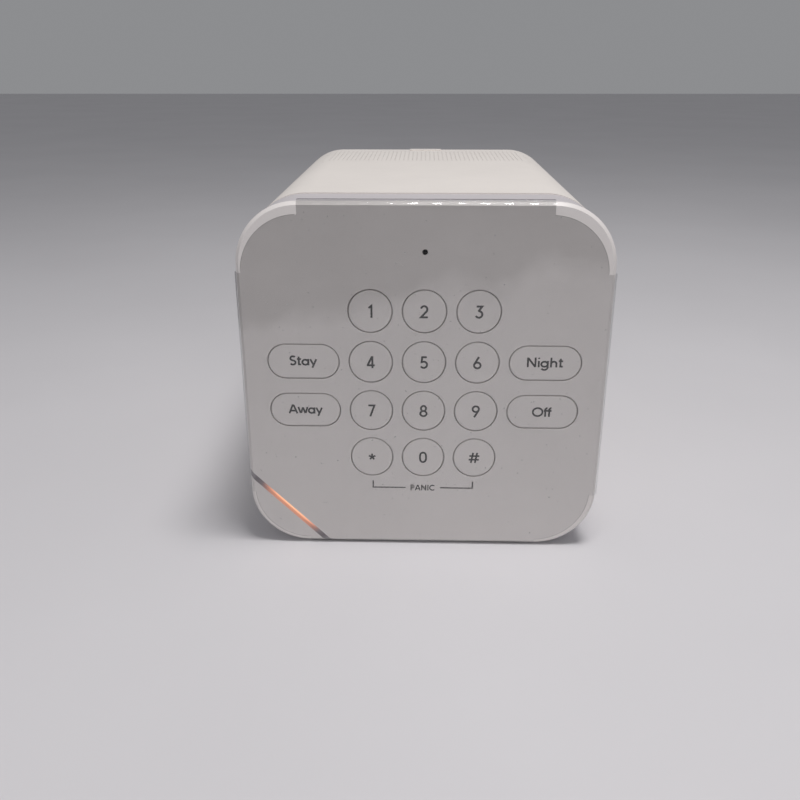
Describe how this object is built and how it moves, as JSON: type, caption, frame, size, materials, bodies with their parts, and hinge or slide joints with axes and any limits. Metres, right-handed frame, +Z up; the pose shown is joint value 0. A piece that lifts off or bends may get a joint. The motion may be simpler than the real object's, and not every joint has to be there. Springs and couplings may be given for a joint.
{
  "type": "alarm keypad hub",
  "caption": "Free-standing alarm keypad hub: a rounded square keypad face with round and pill keys and a corner light bar on a deep rounded box with a roof grille and rear sockets",
  "frame": {"origin": "on the table under the middle of the whole box, at the bottom of the rubber feet", "axes": "+X to the right of someone facing the keypad, +Y from the keypad face to the rear cover, +Z up"},
  "size_m": [0.1212, 0.167, 0.1212],
  "materials": {
    "white_shell": "fine moulded texture",
    "white_face": "satin",
    "key_white": "satin",
    "bezel_grey": "satin",
    "clear_film": "clear wrinkled film",
    "light_diffuser": "lit diffuser",
    "black_plastic": "satin",
    "silicone": "matte",
    "rubber_dark": "matte",
    "board_green": "soldermask",
    "screw_steel": "zinc plated",
    "bright_metal": "tin plated",
    "gold": "plated contacts",
    "cloth": "woven",
    "paper_cone": "pressed paper",
    "battery_wrap": "shrink wrap",
    "ribbon": "flat cable",
    "label": "blank label"
  },
  "bodies": {
    "root": {"protective_film": "clear_film", "front_panel": "white_face", "corner_cap": "white_face", "light_bar": "light_diffuser", "keymat": "silicone", "snap_domes": "bright_metal", "keypad_board": "board_green", "keypad_frame": "black_plastic", "keypad_screws": "screw_steel", "mic_gasket": "rubber_dark", "microphone": "bright_metal", "light_holder": "black_plastic", "light_board": "board_green", "light_leds": "label", "bezel_ring": "bezel_grey", "housing_sleeve": "white_shell", "speaker_grille": "white_shell", "grille_cloth": "cloth", "rubber_feet": "rubber_dark", "rating_label": "label", "sounder_tray": "black_plastic", "speaker_basket": "bright_metal", "speaker_cone": "paper_cone", "speaker_magnet": "screw_steel", "siren_horn": "black_plastic", "chassis": "black_plastic", "chassis_screws": "screw_steel", "main_board": "board_green", "board_screws": "screw_steel", "shield_cans": "bright_metal", "cell_module": "bright_metal", "antennas": "board_green", "ribbon_cable": "ribbon", "ribbon_sockets": "black_plastic", "battery_bay": "black_plastic", "battery_pack": "battery_wrap", "rear_cover": "white_shell", "cover_screws": "screw_steel", "ethernet_socket": "black_plastic", "ethernet_contacts": "gold", "power_socket": "black_plastic", "reset_switch": "black_plastic"},
    "key_1": {"key_1": "key_white"},
    "key_2": {"key_2": "key_white"},
    "key_3": {"key_3": "key_white"},
    "key_4": {"key_4": "key_white"},
    "key_5": {"key_5": "key_white"},
    "key_6": {"key_6": "key_white"},
    "key_7": {"key_7": "key_white"},
    "key_8": {"key_8": "key_white"},
    "key_9": {"key_9": "key_white"},
    "key_0": {"key_0": "key_white"},
    "key_star": {"key_star": "key_white"},
    "key_hash": {"key_hash": "key_white"},
    "key_stay": {"key_stay": "key_white"},
    "key_away": {"key_away": "key_white"},
    "key_night": {"key_night": "key_white"},
    "key_off": {"key_off": "key_white"},
    "battery_door": {"battery_door": "white_shell"},
    "reset_button": {"reset_button": "rubber_dark"}
  },
  "joints": [
    {"name": "key_1_press", "type": "slide", "parent": "root", "child": "key_1", "axis": [0, 1, 0], "range_m": [0, 0.0008], "stiffness_N_per_m": 2000},
    {"name": "key_2_press", "type": "slide", "parent": "root", "child": "key_2", "axis": [0, 1, 0], "range_m": [0, 0.0008], "stiffness_N_per_m": 2000},
    {"name": "key_3_press", "type": "slide", "parent": "root", "child": "key_3", "axis": [0, 1, 0], "range_m": [0, 0.0008], "stiffness_N_per_m": 2000},
    {"name": "key_4_press", "type": "slide", "parent": "root", "child": "key_4", "axis": [0, 1, 0], "range_m": [0, 0.0008], "stiffness_N_per_m": 2000},
    {"name": "key_5_press", "type": "slide", "parent": "root", "child": "key_5", "axis": [0, 1, 0], "range_m": [0, 0.0008], "stiffness_N_per_m": 2000},
    {"name": "key_6_press", "type": "slide", "parent": "root", "child": "key_6", "axis": [0, 1, 0], "range_m": [0, 0.0008], "stiffness_N_per_m": 2000},
    {"name": "key_7_press", "type": "slide", "parent": "root", "child": "key_7", "axis": [0, 1, 0], "range_m": [0, 0.0008], "stiffness_N_per_m": 2000},
    {"name": "key_8_press", "type": "slide", "parent": "root", "child": "key_8", "axis": [0, 1, 0], "range_m": [0, 0.0008], "stiffness_N_per_m": 2000},
    {"name": "key_9_press", "type": "slide", "parent": "root", "child": "key_9", "axis": [0, 1, 0], "range_m": [0, 0.0008], "stiffness_N_per_m": 2000},
    {"name": "key_0_press", "type": "slide", "parent": "root", "child": "key_0", "axis": [0, 1, 0], "range_m": [0, 0.0008], "stiffness_N_per_m": 2000},
    {"name": "key_star_press", "type": "slide", "parent": "root", "child": "key_star", "axis": [0, 1, 0], "range_m": [0, 0.0008], "stiffness_N_per_m": 2000},
    {"name": "key_hash_press", "type": "slide", "parent": "root", "child": "key_hash", "axis": [0, 1, 0], "range_m": [0, 0.0008], "stiffness_N_per_m": 2000},
    {"name": "key_stay_press", "type": "slide", "parent": "root", "child": "key_stay", "axis": [0, 1, 0], "range_m": [0, 0.0008], "stiffness_N_per_m": 2000},
    {"name": "key_away_press", "type": "slide", "parent": "root", "child": "key_away", "axis": [0, 1, 0], "range_m": [0, 0.0008], "stiffness_N_per_m": 2000},
    {"name": "key_night_press", "type": "slide", "parent": "root", "child": "key_night", "axis": [0, 1, 0], "range_m": [0, 0.0008], "stiffness_N_per_m": 2000},
    {"name": "key_off_press", "type": "slide", "parent": "root", "child": "key_off", "axis": [0, 1, 0], "range_m": [0, 0.0008], "stiffness_N_per_m": 2000},
    {"name": "battery_door_hinge", "type": "hinge", "parent": "root", "child": "battery_door", "pos_m": [0, 0.0826, 0.013], "axis": [-1, 0, 0], "range_deg": [0, 90]},
    {"name": "reset_press", "type": "slide", "parent": "root", "child": "reset_button", "axis": [0, -1, 0], "range_m": [0, 0.0005], "stiffness_N_per_m": 2000}
  ]
}
